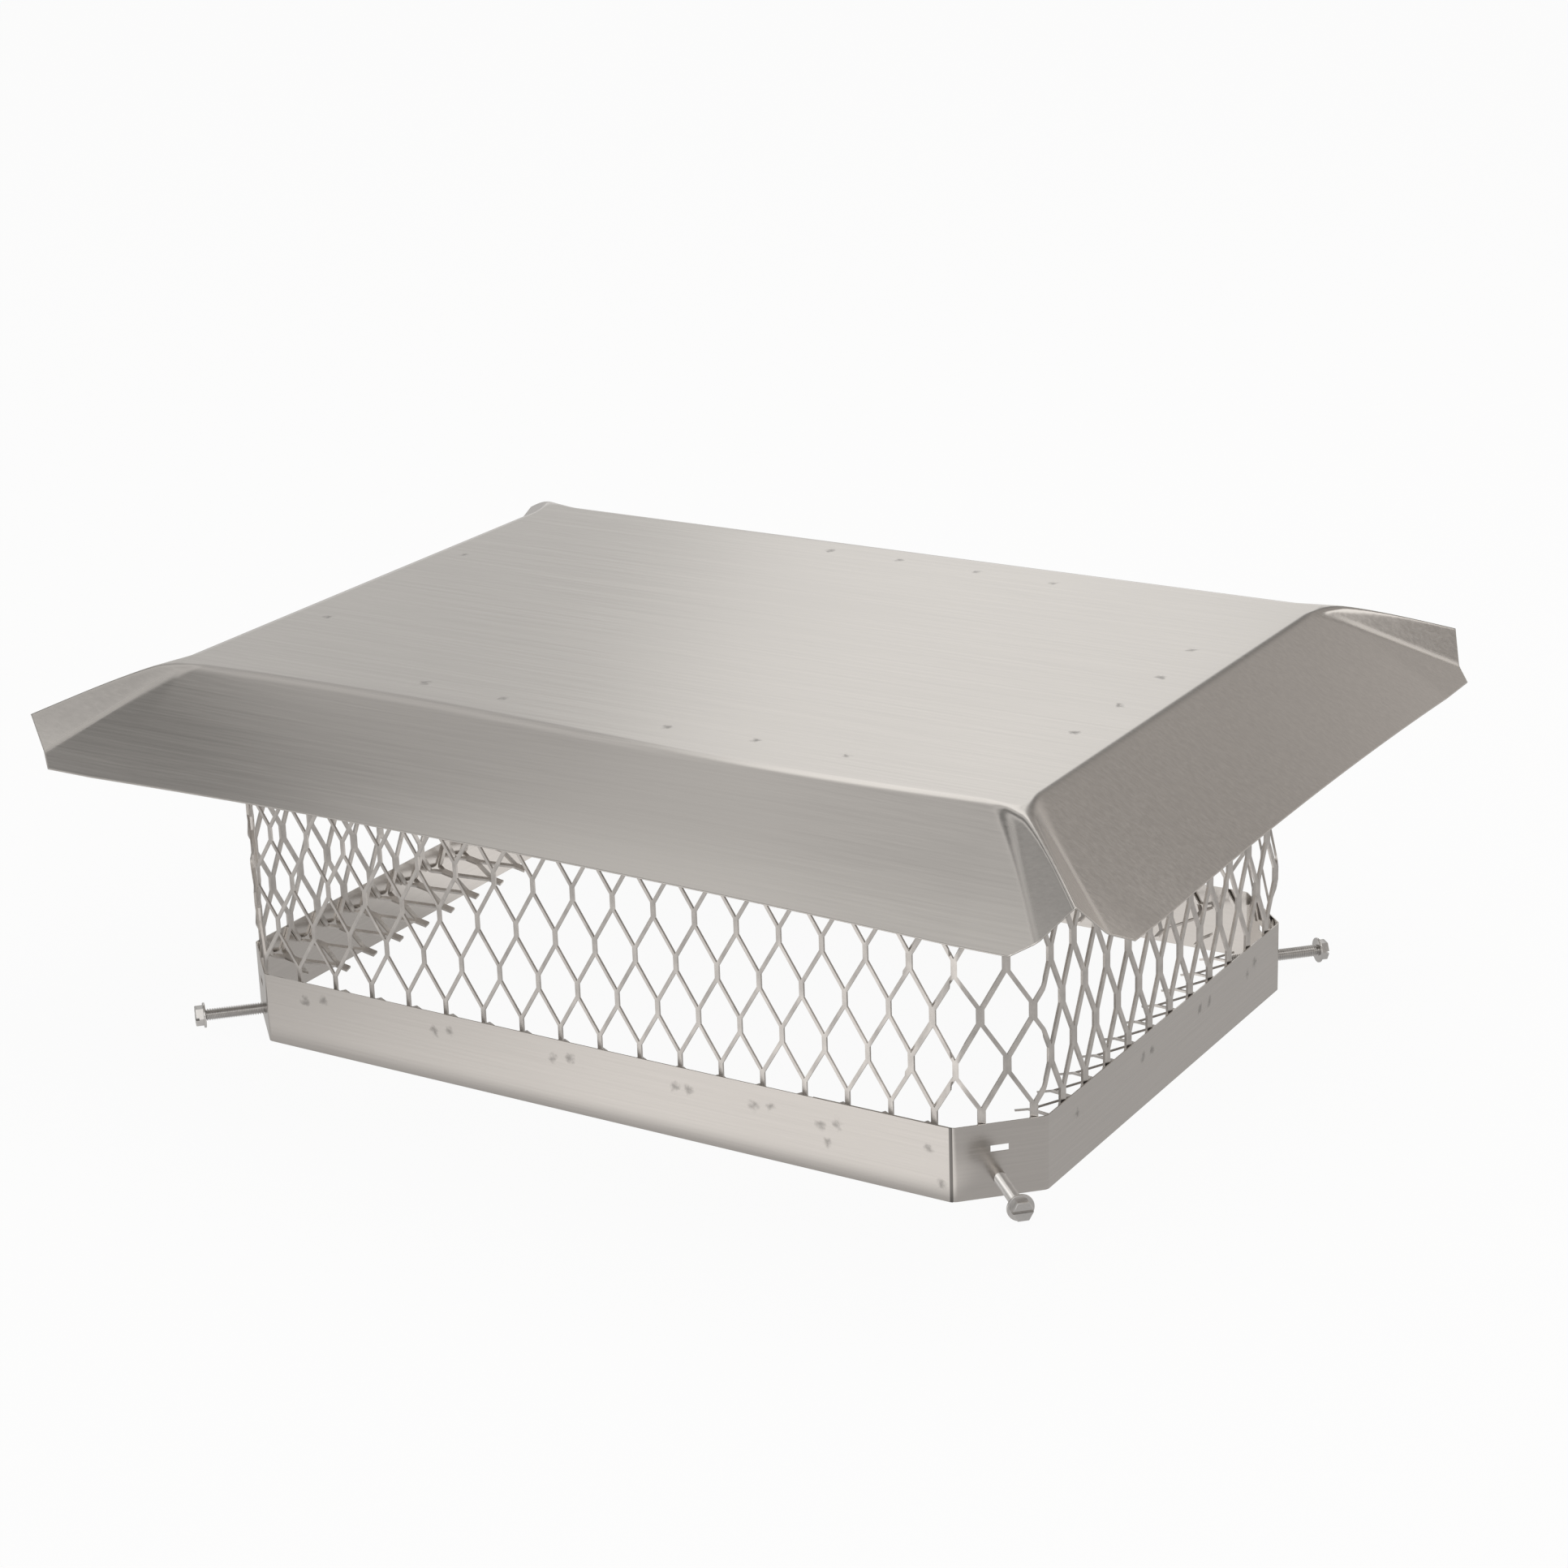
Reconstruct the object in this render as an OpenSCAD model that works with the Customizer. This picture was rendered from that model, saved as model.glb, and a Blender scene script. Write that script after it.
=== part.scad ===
// Chimney cap for a rectangular flue: a pressed hood on an expanded metal screen,
// held by a sheet band with four clamp screws. Millimetres, +Z up.
// The origin is the middle of the band, at its lower edge. The long side runs along X.

/* [Band] */
// Length of the band over its outer faces
band_length = 474; // [400:1:560]
// Width of the band over its outer faces
band_width = 334; // [260:1:420]
// Height of the band
band_height = 38; // [34:1:60]
// Distance that each corner is cut back along both sides
corner_cut = 33; // [26:1:45]
// Outer radius of the upright bends
bend_radius = 4; // [3:0.5:8]
// Thickness of the sheet
sheet = 0.6; // [0.4:0.1:1]
// Length of the tab that laps behind the front face
tab_length = 75; // [40:1:120]

/* [Pierced slots] */
// Length of the slot in each corner face
slot_length = 9; // [5:0.5:14]
// Height of the slot
slot_height = 3.4; // [2:0.2:5]
// Height of the slot's middle above the lower edge
slot_level = 25; // [22:1:30]

/* [Clamp screws] */
// Thread diameter
screw_d = 6.35; // [5:0.05:8]
// Length under the head
screw_length = 51; // [45:1:60]
// Height of the screw axis above the band's lower edge
screw_level = 9.2; // [8:0.2:14]
// How far the tip stands inside the band
screw_reach = 20; // [5:1:25]
// Radial clearance between the thread and its hole
screw_clearance = 0.05; // [0.03:0.01:0.1]
// Diameter of the washer face under the head
washer_d = 13.4; // [12:0.2:16]
// Thickness of the washer face
washer_t = 1.2; // [0.8:0.1:2]
// Width of the hexagon across its flats
hex_width = 9.5; // [8:0.1:11]
// Height of the hexagon
hex_height = 4.2; // [3:0.1:6]
// Width of the driving slot
drive_width = 1.4; // [1:0.1:2]
// Depth of the driving slot
drive_depth = 1.8; // [1:0.1:2.5]
// Length of the pointed run at the tip
tip_taper = 1.2; // [0.5:0.1:2]

/* [Screen] */
// Thickness of the expanded metal
mesh_t = 1.2; // [0.9:0.1:2]
// Short way of the diamonds, from bond to bond
short_way = 23.5; // [20:0.1:30]
// Long way of the diamonds, from bond to bond
long_way = 50.8; // [44:0.2:56]
// Width of a bond
bond_width = 3.2; // [2:0.1:4]
// Height of a bond's straight sides
bond_height = 7.3; // [6:0.1:10]
// Height of each opening from point to point
opening_height = 41; // [38:0.5:42]
// Height of the first row of bonds
first_row = 41; // [40:0.5:46]
// Sideways place of a bond of that row on the front
row_shift = 6.2; // [0:0.1:23]
// Height of the lower flange that rests on the flue
rest_level = 25; // [22:0.5:29]
// Distance from each flange's end to the corner
flange_setback = 8; // [6:0.5:12]
// Length of the screen's own lap at the front right corner
mesh_lap = 30; // [20:1:45]
// Gap between the screen's lower edge and the slot in a corner face
slot_gap = 2; // [1:0.5:4]

/* [Hood] */
// How far the flat top reaches past the screen's ends before it bends
top_past_ends = 5; // [0:0.5:30]
// How far the flat top reaches past the screen's long sides before it bends
top_past_sides = 0; // [0:0.5:20]
// Height of the flat top above the band's lower edge
hood_height = 204; // [200:0.5:208]
// Length of each sloping side, along the slope
skirt_slant = 79.9; // [60:0.1:90]
// Slope of the sides
skirt_angle = 30.4; // [22:0.1:35]
// Length of the lower edge past the flat top, before the clipped corner
corner_run = 28.5; // [15:0.5:40]
// Angle between each valley crease and the fall of the side
valley_angle = 25.8; // [20:0.2:32]
// Half width of the rounded bends round the top
top_bend = 2.3; // [1.5:0.1:5]
// Rounding of the corner creases where they start
crease_start = 0.8; // [0.6:0.1:1.5]
// Growth of that rounding along each crease
crease_growth = 0.035; // [0.02:0.005:0.06]
// Rise of the lower edges at the middle of each side
edge_rise = 3.5; // [0:0.5:6]

/* [Hidden] */

steel = [0.72, 0.70, 0.68];
mesh_steel = [0.60, 0.59, 0.57];
bright_steel = [0.80, 0.80, 0.79];

arc_steps = 6;
half_arc_steps = 2;
hole_steps = 48;
washer_steps = 64;
through = 4;

// Eight faces, a bend apart, starting with the right one
bend_angle = 45;
half_bend = bend_angle / 2;
front_angle = 270;
half_l = band_length / 2;
half_w = band_width / 2;
corner_reach = (half_l + half_w - corner_cut) / sqrt(2);
FRONT = front_angle / bend_angle;
FRONT_RIGHT = FRONT + 1;
function faces(side, front) =
    [for (i = [0:7]) i == FRONT ? front : i % 2 == 1 ? corner_reach - side
        : i % 4 == 0 ? half_l - side : half_w - side];
function face_angle(i) = bend_angle * i;
function corner_shift(i) = (i % 4 == 1 ? -1 : 1) * (half_l - half_w) / sqrt(2);
function along(a) = [cos(a), sin(a)];
// Where the line of direction a at distance da meets the next line, one bend on
function meet(a, da, db) =
    [da * sin(a + bend_angle) - db * sin(a), db * cos(a) - da * cos(a + bend_angle)] / sin(bend_angle);
function bend_centre(d, i, r) = meet(face_angle(i), d[i % 8] - r, d[(i + 1) % 8] - r);
function bend_arc(d, i, r, inset, from, to, steps = half_arc_steps) =
    [for (k = [0:steps]) bend_centre(d, i, r)
        + (r - inset) * along(face_angle(i) + from + (to - from) * k / steps)];
function outline(d, r, inset) = [for (i = [0:7]) each bend_arc(d, i, r, inset, 0, bend_angle, arc_steps)];

// One face of a bent wall, from the middle of one bend to the middle of the next
function face_outline(d, i, r, t) = concat(
    bend_arc(d, i + 7, r, 0, half_bend, bend_angle), bend_arc(d, i, r, 0, 0, half_bend),
    bend_arc(d, i, r, t, half_bend, 0), bend_arc(d, i + 7, r, t, bend_angle, half_bend));

module ring(d, r, t) {
    difference() {
        polygon(outline(d, r, 0));
        polygon(outline(d, r, t));
    }
}

// Puts its children on the middle of corner face i, with +Z pointing out of the face
module on_corner(i, level) {
    rotate([0, 0, face_angle(i)])
        translate([corner_reach, corner_shift(i), level])
            rotate([0, 90, 0])
                children();
}

module band() {
    lap_x = half_l - corner_cut;
    corner_box = [corner_cut / 2, corner_cut / 2 + through];
    color(steel) difference() {
        linear_extrude(band_height) {
            difference() {
                ring(faces(0, half_w), bend_radius, sheet);
                translate([lap_x, -half_w - through]) square(corner_box);
            }
            intersection() {
                ring(faces(0, half_w - sheet), bend_radius, sheet);
                translate([lap_x - tab_length, -half_w - through])
                    square(corner_box + [tab_length, 0]);
            }
        }
        for (i = [1, 3, 5, 7]) {
            on_corner(i, screw_level)
                cylinder(h = 2 * through, d = screw_d + 2 * screw_clearance, center = true, $fn = hole_steps);
            on_corner(i, slot_level)
                cube([slot_height, slot_length, 2 * through], center = true);
        }
    }
}

// Screen: rows of hexagonal openings, in the unrolled strip's own places
wall_side = sheet;
mesh_front = half_w - 2 * sheet;
mesh_bend = bend_radius - sheet;
row_rise = long_way / 2;
hood_under = hood_height - sheet;
wall_top = hood_under - mesh_t;
edge_past_row = bond_height / 2;
wall_rows = [0, 6];
low_flange_rows = [-2, -1];
high_flange_rows = [7, 7];
function row_level(j) = first_row + row_rise * j;
low_flange = rest_level + mesh_t / 2 - row_level(low_flange_rows[0]) + edge_past_row;
high_flange = row_level(high_flange_rows[1]) - hood_under + mesh_t / 2 + edge_past_row;

// Middle line of face i, as the places of its two ends
mesh_faces = faces(wall_side, mesh_front);
lap_faces = faces(wall_side, mesh_front - mesh_t);
function end_place(d, i) =
    let (v = meet(face_angle(i), d[i % 8] - mesh_t / 2, d[(i + 1) % 8] - mesh_t / 2),
         a = face_angle(i))
    v[1] * cos(a) - v[0] * sin(a);
function start_place(d, i) =
    let (v = meet(face_angle(i + 7), d[(i + 7) % 8] - mesh_t / 2, d[i % 8] - mesh_t / 2),
         a = face_angle(i))
    v[1] * cos(a) - v[0] * sin(a);
// Distance along the strip from the middle of face i to the middle of the front face
function strip_place(i) = i == FRONT ? 0
    : i == FRONT_RIGHT ? strip_place(0) - start_place(mesh_faces, 0) + end_place(mesh_faces, 7)
    : strip_place(i + 1) - start_place(mesh_faces, i + 1) + end_place(mesh_faces, i);
// The lap lies on the front face but belongs to the strip's other end
lap_place = strip_place(FRONT_RIGHT) - start_place(lap_faces, FRONT_RIGHT) + end_place(lap_faces, FRONT);

opening_half = (short_way - bond_width) / 2;
function first_opening(from, place, j) =
    let (shift = row_shift + (j % 2 == 0 ? short_way / 2 : 0))
    ceil((from - place - shift) / short_way - 0.5) * short_way + shift + place;

module opening(u, v) {
    w = opening_half;
    h = bond_height / 2;
    top = opening_height / 2;
    translate([u, v])
        polygon([[w, -h], [w, h], [0, top], [-w, h], [-w, -h], [0, -top]]);
}

// Openings of a span of rows between two places, row j at base + step * j
module openings(from, to, place, rows, base, step) {
    for (j = [rows[0]:rows[1]])
        for (u = [first_opening(from, place, j):short_way:to + opening_half])
            opening(u, base + step * j);
}

// Stands a flat pattern up on face i, with its x along the face and its y upwards
module on_face(i, distance) {
    rotate([0, 0, face_angle(i) + 90])
        translate([0, -distance, 0])
            rotate([90, 0, 0])
                children();
}

// Stands its outline up as one face of the screen and cuts the openings through it,
// above a closed lower edge that keeps the cut strands together
module wall(d, i, place, low, top) {
    translate([0, 0, low]) linear_extrude(mesh_t) children();
    difference() {
        translate([0, 0, low]) linear_extrude(top - low) children();
        on_face(i, d[i] - mesh_t - through)
            linear_extrude(mesh_t + 2 * through)
                openings(start_place(d, i), end_place(d, i), place, wall_rows, row_level(0), row_rise);
    }
}

// A flange bent inwards from face i, with its own rows cut through it
module flange(i, level, depth, rows, base, step) {
    d = mesh_faces[i];
    from = start_place(mesh_faces, i) + flange_setback;
    to = end_place(mesh_faces, i) - flange_setback;
    translate([0, 0, level]) rotate([0, 0, face_angle(i) + 90])
        linear_extrude(mesh_t) difference() {
            translate([from, -d]) square([to - from, mesh_t / 2 + depth]);
            openings(from, to, strip_place(i), rows, base - d + mesh_t, step);
        }
}

module screen() {
    front_end = bend_centre(mesh_faces, FRONT, mesh_bend)[0];
    lap_start = bend_centre(lap_faces, FRONT, mesh_bend)[0] - mesh_lap;
    corner_low = slot_level + slot_height / 2 + slot_gap;
    color(mesh_steel) union() {
        for (i = [0:5])
            wall(mesh_faces, i, strip_place(i), i % 2 == 1 ? corner_low : rest_level, wall_top)
                polygon(face_outline(mesh_faces, i, mesh_bend, mesh_t));
        wall(lap_faces, FRONT_RIGHT, strip_place(FRONT_RIGHT), corner_low, hood_under)
            polygon(face_outline(lap_faces, FRONT_RIGHT, mesh_bend, mesh_t));
        wall(mesh_faces, FRONT, strip_place(FRONT), rest_level, wall_top)
            polygon(concat(
                bend_arc(mesh_faces, FRONT + 7, mesh_bend, 0, half_bend, bend_angle),
                [[front_end, -mesh_front], [front_end, -mesh_front + mesh_t]],
                bend_arc(mesh_faces, FRONT + 7, mesh_bend, mesh_t, bend_angle, half_bend)));
        wall(lap_faces, FRONT, lap_place, corner_low, hood_under)
            polygon(concat(
                [[lap_start, -mesh_front + 2 * mesh_t], [lap_start, -mesh_front + mesh_t]],
                bend_arc(lap_faces, FRONT, mesh_bend, 0, 0, half_bend),
                bend_arc(lap_faces, FRONT, mesh_bend, mesh_t, half_bend, 0)));
        for (i = [0, 2, 4, 6]) {
            flange(i, rest_level, low_flange, low_flange_rows, rest_level - row_level(0), -row_rise);
            flange(i, wall_top, high_flange, high_flange_rows, row_level(0) - hood_under, row_rise);
        }
        translate([0, 0, wall_top]) linear_extrude(mesh_t) ring(mesh_faces, mesh_bend, mesh_t);
    }
}

// Clamp screw through corner face i, with its hexagonal washer head outside
module screw(i) {
    under_head = screw_length - screw_reach;
    hex_d = hex_width / cos(30);
    head_top = washer_t + hex_height;
    color(bright_steel) on_corner(i, screw_level) {
        translate([0, 0, -screw_reach])
            cylinder(h = tip_taper, d1 = screw_d - 2 * tip_taper, d2 = screw_d, $fn = hole_steps);
        translate([0, 0, tip_taper - screw_reach])
            cylinder(h = screw_length - tip_taper, d = screw_d, $fn = hole_steps);
        translate([0, 0, under_head]) difference() {
            union() {
                cylinder(h = washer_t, d = washer_d, $fn = washer_steps);
                intersection() {
                    cylinder(h = head_top, d = hex_d, $fn = 6);
                    cylinder(h = head_top, d1 = hex_width + 2 * head_top, d2 = hex_width, $fn = washer_steps);
                }
            }
            translate([0, 0, head_top])
                cube([drive_width, washer_d, 2 * drive_depth], center = true);
        }
    }
}
module screw_front_left() { screw(5); }
module screw_front_right() { screw(FRONT_RIGHT); }
module screw_back_right() { screw(1); }
module screw_back_left() { screw(3); }

// Hood: one sheet, folded down on four sides, with the spare metal of each corner
// raised in a pleat between two valley creases. The pleat keeps the flat sheet's lengths,
// so the slope of its ridge follows from the slope of the sides.
skirt_run = skirt_slant * cos(skirt_angle);
least_slope = tan(skirt_angle) - edge_rise / skirt_run;
bend_reach = top_bend * tan(skirt_angle) / least_slope;
half_top_l = half_l - wall_side + top_past_ends + bend_reach;
half_top_w = half_w - wall_side + top_past_sides + bend_reach;
valley = [sin(valley_angle), cos(valley_angle) * cos(skirt_angle), cos(valley_angle) * sin(skirt_angle)];
ridge_a = (valley[0] + valley[1]) / sqrt(2);
ridge_slope = atan2(valley[2], ridge_a)
    - acos(cos(45 - valley_angle) / sqrt(ridge_a * ridge_a + valley[2] * valley[2]));
ridge = [cos(ridge_slope) / sqrt(2), cos(ridge_slope) / sqrt(2), sin(ridge_slope)];
clip_sum = corner_run + skirt_slant;
clip_end = [corner_run, skirt_run];
valley_end = [valley[0], valley[1]] * clip_sum / (sin(valley_angle) + cos(valley_angle));
ridge_end = [ridge[0], ridge[1]] * clip_sum / sqrt(2);

// Fall of the plane through the valley and the ridge, per millimetre along each side
pleat_y = (valley[2] - valley[0] * ridge[2] / ridge[0]) / (valley[1] - valley[0]);
pleat_x = ridge[2] / ridge[0] - pleat_y;

function soft_max(a, b, k) = let (h = max(k - abs(a - b), 0)) max(a, b) + h * h / (4 * k);
function soft_min(a, b, k) = -soft_max(-a, -b, k);
// Slope of a side of half length half, at x past its corner
function side_slope(x, half) = let (s = min(1 + x / half, 1))
    least_slope + (tan(skirt_angle) - least_slope) * s * s;
// Fall below the flat top at x, y past its corner, between sides of half length lx and ly
function fall(x, y, lx, ly) =
    let (k = crease_start + crease_growth * norm([max(x, 0), max(y, 0)]),
         side_y = soft_min(side_slope(x, lx) * y, pleat_x * x + pleat_y * y, k),
         side_x = soft_min(side_slope(y, ly) * x, pleat_x * y + pleat_y * x, k))
    soft_max(0, soft_max(side_y, side_x, 2 * k), top_bend * tan(skirt_angle));
normal_step = 0.2;
function surface_normal(x, y, lx, ly) =
    let (e = normal_step, n = [fall(x + e, y, lx, ly) - fall(x - e, y, lx, ly),
                       fall(x, y + e, lx, ly) - fall(x, y - e, lx, ly), 2 * e])
    n / norm(n);

function mirrored(p) = [p[1], p[0]];
function run_of(a, b, n) = [for (k = [0:n - 1]) a + (b - a) * k / n];
edge_fan_steps = 2;
clip_fan_steps = 3;
pleat_fan_steps = 7;
half_fan = concat(
    run_of([0, skirt_run], clip_end, edge_fan_steps),
    run_of(clip_end, valley_end, clip_fan_steps),
    run_of(valley_end, ridge_end, pleat_fan_steps));
fan = concat(half_fan, [ridge_end], [for (k = [len(half_fan) - 1:-1:0]) mirrored(half_fan[k])]);
last_ray = len(fan) - 1;

// Rings of points round the hood, by their distance past the edge of the flat top.
// Inside that edge their corners are drawn from a point further in, so that none has zero length.
corner_gap = 3;
side_steps = 4;
inner_ring_steps = 2;
bend_ring_steps = 3;
skirt_ring_steps = 5;
rings = concat(
    [for (k = [0:inner_ring_steps]) bend_reach * (k / inner_ring_steps - 1)],
    [for (k = [1:bend_ring_steps]) bend_reach * k / bend_ring_steps],
    [for (k = [1:skirt_ring_steps]) bend_reach + (skirt_run - bend_reach) * k / skirt_ring_steps]);
function corner_point(d, j) = d > 0 ? fan[j] * d / skirt_run
    : (d - corner_gap) * [1, 1] + corner_gap * fan[j] / skirt_run;
// One corner of a ring, with half of the side on each hand; the middle of the second is left out
function corner_run_of(d, lx, ly) = concat(
    [for (k = [side_steps:-1:1]) [-lx * k / side_steps, d]],
    [for (j = [0:last_ray]) corner_point(d, j)],
    [for (k = [1:side_steps - 1]) [d, -ly * k / side_steps]]);
// Corner q of the four, counted from the front right one, with the sheet's depth below its face
function hood_corner(d, q, depth) =
    let (turned = q % 2 == 1,
         lx = turned ? half_top_w : half_top_l, ly = turned ? half_top_l : half_top_w,
         sx = q < 2 ? 1 : -1, sy = q % 3 == 0 ? -1 : 1)
    [for (p = corner_run_of(d, lx, ly))
        let (n = surface_normal(p[0], p[1], lx, ly),
             m = p - depth * [n[0], n[1]],
             w = turned ? mirrored(m) : m)
        [sx * (half_top_l + w[0]), sy * (half_top_w + w[1]),
         hood_height - fall(p[0], p[1], lx, ly) - depth * n[2]]];
function hood_ring(d, depth) = [for (q = [0:3]) each hood_corner(d, q, depth)];

module hood() {
    loop = len(hood_ring(0, 0));
    last = len(rings) - 1;
    under = (last + 1) * loop;
    middle = 2 * under;
    points = concat([for (d = rings) each hood_ring(d, 0)], [for (d = rings) each hood_ring(d, sheet)],
        [[0, 0, hood_height], [0, 0, hood_under]]);
    color(steel) polyhedron(points = points, faces = concat(
        [for (j = [0:loop - 1]) let (n = (j + 1) % loop)
            each [[middle, n, j], [middle + 1, under + j, under + n]]],
        [for (k = [0:last - 1]) for (j = [0:loop - 1]) let (n = (j + 1) % loop)
            each [[k * loop + j, k * loop + n, (k + 1) * loop + n],
                  [k * loop + j, (k + 1) * loop + n, (k + 1) * loop + j]]],
        [for (k = [0:last - 1]) for (j = [0:loop - 1]) let (n = (j + 1) % loop)
            each [[under + k * loop + n, under + k * loop + j, under + (k + 1) * loop + n],
                  [under + (k + 1) * loop + n, under + k * loop + j, under + (k + 1) * loop + j]]],
        [for (j = [0:loop - 1]) let (n = (j + 1) % loop)
            each [[last * loop + j, last * loop + n, under + last * loop + n],
                  [last * loop + j, under + last * loop + n, under + last * loop + j]]]));
}

hood();
screen();
band();
screw_front_left();
screw_front_right();
screw_back_right();
screw_back_left();
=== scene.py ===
# %% [markdown]
# A chimney cap in brushed stainless steel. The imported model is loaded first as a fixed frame: its
# hood, screen, band and four clamp screws already stand where they belong. This lesson then makes
# the camera and the light, mixes the steel finishes, and dresses the frame with a finer hood,
# a real expanded metal screen and threaded screws.

# %% Load the frame
import bpy
import bmesh
import math
from mathutils import Matrix, Vector


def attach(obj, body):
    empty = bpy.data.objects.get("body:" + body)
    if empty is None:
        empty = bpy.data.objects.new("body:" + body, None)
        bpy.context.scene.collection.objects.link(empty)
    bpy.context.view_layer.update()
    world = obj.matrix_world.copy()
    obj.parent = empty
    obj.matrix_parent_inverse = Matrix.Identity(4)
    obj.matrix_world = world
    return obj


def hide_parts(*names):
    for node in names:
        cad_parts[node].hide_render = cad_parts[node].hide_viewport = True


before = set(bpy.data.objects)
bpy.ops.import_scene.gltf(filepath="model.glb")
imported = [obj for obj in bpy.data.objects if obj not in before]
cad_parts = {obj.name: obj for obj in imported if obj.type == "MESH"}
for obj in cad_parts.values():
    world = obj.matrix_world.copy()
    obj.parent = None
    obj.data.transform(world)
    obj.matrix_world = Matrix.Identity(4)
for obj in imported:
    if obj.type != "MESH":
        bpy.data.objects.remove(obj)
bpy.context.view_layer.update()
MM = 0.001
print("frame:", sorted(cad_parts))

# %% [markdown]
# The camera looks down on the front right corner from about two metres away. Its place, turn and
# slight roll were found by matching the band, the hood and the screen to the photograph, so they
# are written here as angles and one point. A camera looks along its own -Z, so the matrix columns
# are right, up and back.

# %% Camera
CAMERA_PLACE = Vector((0.90906, -1.43677, 0.72859))
AZIMUTH, ELEVATION, ROLL = (math.radians(a) for a in (31.881, 19.66, -1.958))


def camera_matrix(place, azimuth, elevation, roll):
    back = Vector((math.sin(azimuth) * math.cos(elevation), -math.cos(azimuth) * math.cos(elevation),
                   math.sin(elevation)))
    level = (-back).cross(Vector((0, 0, 1))).normalized()
    upright = level.cross(-back)
    right = level * math.cos(roll) + upright * math.sin(roll)
    up = upright * math.cos(roll) - level * math.sin(roll)
    turn = Matrix((right, up, back)).transposed().to_4x4()
    return Matrix.Translation(place) @ turn


camera_data = bpy.data.cameras.new("camera")
camera_data.sensor_width = 36
camera_data.lens = 79.247
camera_data.clip_end = 50
camera = bpy.data.objects.new("camera", camera_data)
camera.matrix_world = camera_matrix(CAMERA_PLACE, AZIMUTH, ELEVATION, ROLL)
bpy.context.scene.collection.objects.link(camera)
bpy.context.scene.camera = camera
bpy.context.scene.view_settings.view_transform = "Standard"
print("camera at", tuple(round(c, 3) for c in camera.matrix_world.translation))

# %% [markdown]
# Bare steel shows little colour of its own: what the eye reads is the room that it mirrors. So the
# room matters as much as the metal. This one is a white sweep that is bright behind the cap up to
# some twenty degrees above the floor and dimmer above it and to the left. The camera sees plain
# white.

# %% Nodes in few words
def node(tree, kind, inputs=(), **settings):
    made = tree.nodes.new(kind)
    for key, value in settings.items():
        setattr(made, key, value)
    for socket, value in dict(inputs).items():
        if isinstance(value, bpy.types.NodeSocket):
            tree.links.new(value, made.inputs[socket])
        else:
            made.inputs[socket].default_value = value
    return made


def soft_step(tree, value, low, high, at_low=0.0, at_high=1.0):
    return node(tree, "ShaderNodeMapRange", {0: value, 1: low, 2: high, 3: at_low, 4: at_high},
                interpolation_type="SMOOTHSTEP").outputs[0]


def maths(tree, operation, a, b=0.0):
    return node(tree, "ShaderNodeMath", {0: a, 1: b}, operation=operation).outputs[0]


# %% The room
room = bpy.data.worlds.new("white room")
bpy.context.scene.world = room
room.use_nodes = True
tree = room.node_tree
tree.nodes.clear()
towards = node(tree, "ShaderNodeTexCoord").outputs["Generated"]
height = node(tree, "ShaderNodeSeparateXYZ", {0: towards}).outputs[2]
aside = node(tree, "ShaderNodeVectorMath", {0: towards, 1: (0.816, 0.392, 0.425)},
             operation="DOT_PRODUCT").outputs["Value"]
low = maths(tree, "ADD", maths(tree, "ADD", soft_step(tree, aside, 0.12, 0.3, 0.64, 0.24),
                               soft_step(tree, aside, -0.35, -0.2, -0.16, 0.0)),
            maths(tree, "ADD", soft_step(tree, height, 0.02, 0.15, 0.2, 0.0),
                  maths(tree, "MULTIPLY", soft_step(tree, aside, 0.33, 0.5, 0.0, 0.36),
                        soft_step(tree, height, 0.2, 0.33, 1.0, 0.85))))
high = maths(tree, "ADD", soft_step(tree, aside, -0.155, -0.035, 0.26, 0.71),
             maths(tree, "ADD", maths(tree, "MULTIPLY", soft_step(tree, aside, -0.42, -0.33, 0.12, 0.5),
                                      soft_step(tree, aside, -0.31, -0.25, 1.0, 0.0)),
                   maths(tree, "ADD", soft_step(tree, aside, -0.02, 0.05, 0.0, -0.1),
                         soft_step(tree, aside, 0.12, 0.3, 0.0, -0.22))))
upper = soft_step(tree, height, 0.33, 0.6)
wall = maths(tree, "ADD", maths(tree, "MULTIPLY", low, maths(tree, "SUBTRACT", 1.0, upper)),
             maths(tree, "MULTIPLY", high, upper))
dim = maths(tree, "MULTIPLY", maths(tree, "MULTIPLY", soft_step(tree, height, 0.34, 0.44),
                                    soft_step(tree, height, 0.58, 0.74, 0.24, 0.0)),
            maths(tree, "MULTIPLY", soft_step(tree, aside, -0.25, -0.15), soft_step(tree, aside, 0.04, 0.1, 1.0, 0.0)))
wall = maths(tree, "MULTIPLY", wall, maths(tree, "SUBTRACT", 1.0, dim))
panel_side = maths(tree, "SUBTRACT", aside, soft_step(tree, height, 0.33, 0.46, 0.0, 0.055))
panel = maths(tree, "MULTIPLY", soft_step(tree, panel_side, -0.02, 0.03),
              maths(tree, "MULTIPLY", soft_step(tree, aside, 0.17, 0.24, 1.0, 0.0),
                    soft_step(tree, height, 0.74, 0.86, 1.0, 0.0)))
panel_level = soft_step(tree, height, 0.33, 0.5, 0.97, 1.25)
glow = maths(tree, "ADD", wall, maths(tree, "MULTIPLY", panel, maths(tree, "SUBTRACT", panel_level, wall)))
warm = node(tree, "ShaderNodeMix", {0: soft_step(tree, aside, 0.2, 0.4), 6: (1.0, 0.985, 0.96, 1),
                                    7: (1.0, 0.95, 0.9, 1)}, data_type="RGBA").outputs[2]
seen = node(tree, "ShaderNodeLightPath").outputs["Is Camera Ray"]
light = node(tree, "ShaderNodeBackground", {"Color": warm, "Strength": glow}).outputs[0]
white = node(tree, "ShaderNodeBackground", {"Color": (1, 1, 1, 1), "Strength": 1.0}).outputs[0]
both = node(tree, "ShaderNodeMixShader", {0: seen, 1: light, 2: white}).outputs[0]
node(tree, "ShaderNodeOutputWorld", {"Surface": both})
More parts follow.
